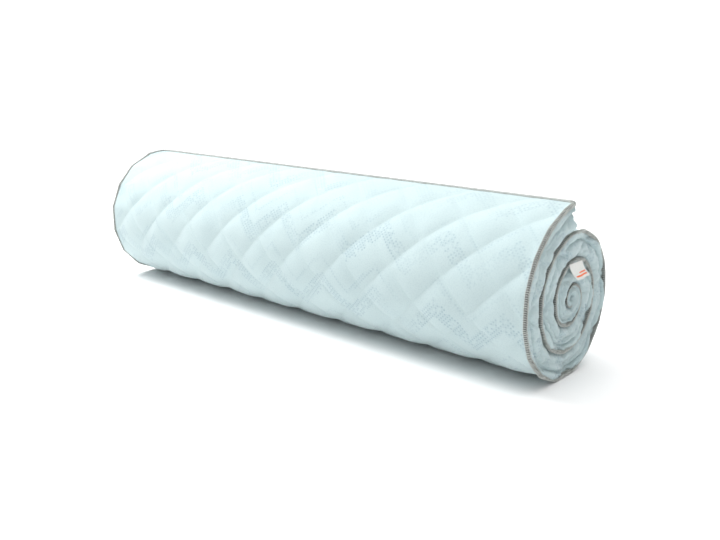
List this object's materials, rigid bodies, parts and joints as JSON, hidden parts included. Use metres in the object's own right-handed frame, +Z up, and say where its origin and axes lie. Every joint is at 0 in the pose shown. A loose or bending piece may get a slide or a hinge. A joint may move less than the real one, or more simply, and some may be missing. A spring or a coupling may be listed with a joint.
{
  "type": "rolled quilted mattress overlay",
  "caption": "Quilted foam mattress overlay rolled into a spiral, overlocked edges, hinged free end that unrolls flat and a sewn label.",
  "frame": {"origin": "centre of the bounding box's underside, on the floor", "axes": "+X along the roll to the end with the label, +Z up, -Y the side over which the free end is wound and towards which it unrolls"},
  "size_m": [1.6158, 0.3913, 0.4201],
  "materials": {
    "knit": "pale mint jacquard knit, quilted in diamonds, matt",
    "wadding": "fibre wadding, matt",
    "foam": "open-cell foam, matt",
    "overlock": "grey overlock thread with darker loops",
    "label": "white woven satin ribbon with a small orange mark"
  },
  "bodies": {
    "roll": {"roll_face_cover": "knit", "roll_wadding": "wadding", "roll_foam": "foam", "roll_back_cover": "knit", "roll_overlock": "overlock", "inner_end_seam": "overlock"},
    "flap_1": {"flap_1_face_cover": "knit", "flap_1_wadding": "wadding", "flap_1_foam": "foam", "flap_1_back_cover": "knit", "flap_1_overlock": "overlock"},
    "flap_2": {"flap_2_face_cover": "knit", "flap_2_wadding": "wadding", "flap_2_foam": "foam", "flap_2_back_cover": "knit", "flap_2_overlock": "overlock"},
    "flap_3": {"flap_3_face_cover": "knit", "flap_3_wadding": "wadding", "flap_3_foam": "foam", "flap_3_back_cover": "knit", "flap_3_overlock": "overlock"},
    "flap_4": {"flap_4_face_cover": "knit", "flap_4_wadding": "wadding", "flap_4_foam": "foam", "flap_4_back_cover": "knit", "flap_4_overlock": "overlock"},
    "flap_5": {"flap_5_face_cover": "knit", "flap_5_wadding": "wadding", "flap_5_foam": "foam", "flap_5_back_cover": "knit", "flap_5_overlock": "overlock"},
    "flap_6": {"flap_6_face_cover": "knit", "flap_6_wadding": "wadding", "flap_6_foam": "foam", "flap_6_back_cover": "knit", "flap_6_overlock": "overlock"},
    "flap_7": {"flap_7_face_cover": "knit", "flap_7_wadding": "wadding", "flap_7_foam": "foam", "flap_7_back_cover": "knit", "flap_7_overlock": "overlock"},
    "flap_8": {"flap_8_face_cover": "knit", "flap_8_wadding": "wadding", "flap_8_foam": "foam", "flap_8_back_cover": "knit", "flap_8_overlock": "overlock", "free_end_seam": "overlock"},
    "label": {"label": "label"}
  },
  "joints": [
    {"name": "unroll", "type": "hinge", "parent": "roll", "child": "flap_1", "pos_m": [0, -0.05187, 0.0049], "axis": [1, 0, 0], "range_deg": [0, 28.02]},
    {"name": "unbend_2", "type": "hinge", "parent": "flap_1", "child": "flap_2", "pos_m": [0, -0.11408, 0.03671], "axis": [1, 0, 0], "range_deg": [0, 19.16]},
    {"name": "unbend_3", "type": "hinge", "parent": "flap_2", "child": "flap_3", "pos_m": [0, -0.16246, 0.08883], "axis": [1, 0, 0], "range_deg": [0, 20.1]},
    {"name": "unbend_4", "type": "hinge", "parent": "flap_3", "child": "flap_4", "pos_m": [0, -0.19053, 0.15554], "axis": [1, 0, 0], "range_deg": [0, 20.1]},
    {"name": "unbend_5", "type": "hinge", "parent": "flap_4", "child": "flap_5", "pos_m": [0, -0.19408, 0.22908], "axis": [1, 0, 0], "range_deg": [0, 20.1]},
    {"name": "unbend_6", "type": "hinge", "parent": "flap_5", "child": "flap_6", "pos_m": [0, -0.17184, 0.30058], "axis": [1, 0, 0], "range_deg": [0, 20.09]},
    {"name": "unbend_7", "type": "hinge", "parent": "flap_6", "child": "flap_7", "pos_m": [0, -0.12568, 0.36113], "axis": [1, 0, 0], "range_deg": [0, 20.09]},
    {"name": "unbend_8", "type": "hinge", "parent": "flap_7", "child": "flap_8", "pos_m": [0, -0.06052, 0.40286], "axis": [1, 0, 0], "range_deg": [0, 20.09]},
    {"name": "label_swing", "type": "hinge", "parent": "roll", "child": "label", "pos_m": [0.79274, 0.01623, 0.284], "axis": [0, -1, 0], "range_deg": [-19, 75]}
  ],
  "couplings": [
    {"joint": "unbend_2", "follows": "unroll", "ratio": 0.68205},
    {"joint": "unbend_3", "follows": "unroll", "ratio": 0.71555},
    {"joint": "unbend_4", "follows": "unroll", "ratio": 0.71549},
    {"joint": "unbend_5", "follows": "unroll", "ratio": 0.71543},
    {"joint": "unbend_6", "follows": "unroll", "ratio": 0.71538},
    {"joint": "unbend_7", "follows": "unroll", "ratio": 0.71532},
    {"joint": "unbend_8", "follows": "unroll", "ratio": 0.71527}
  ]
}
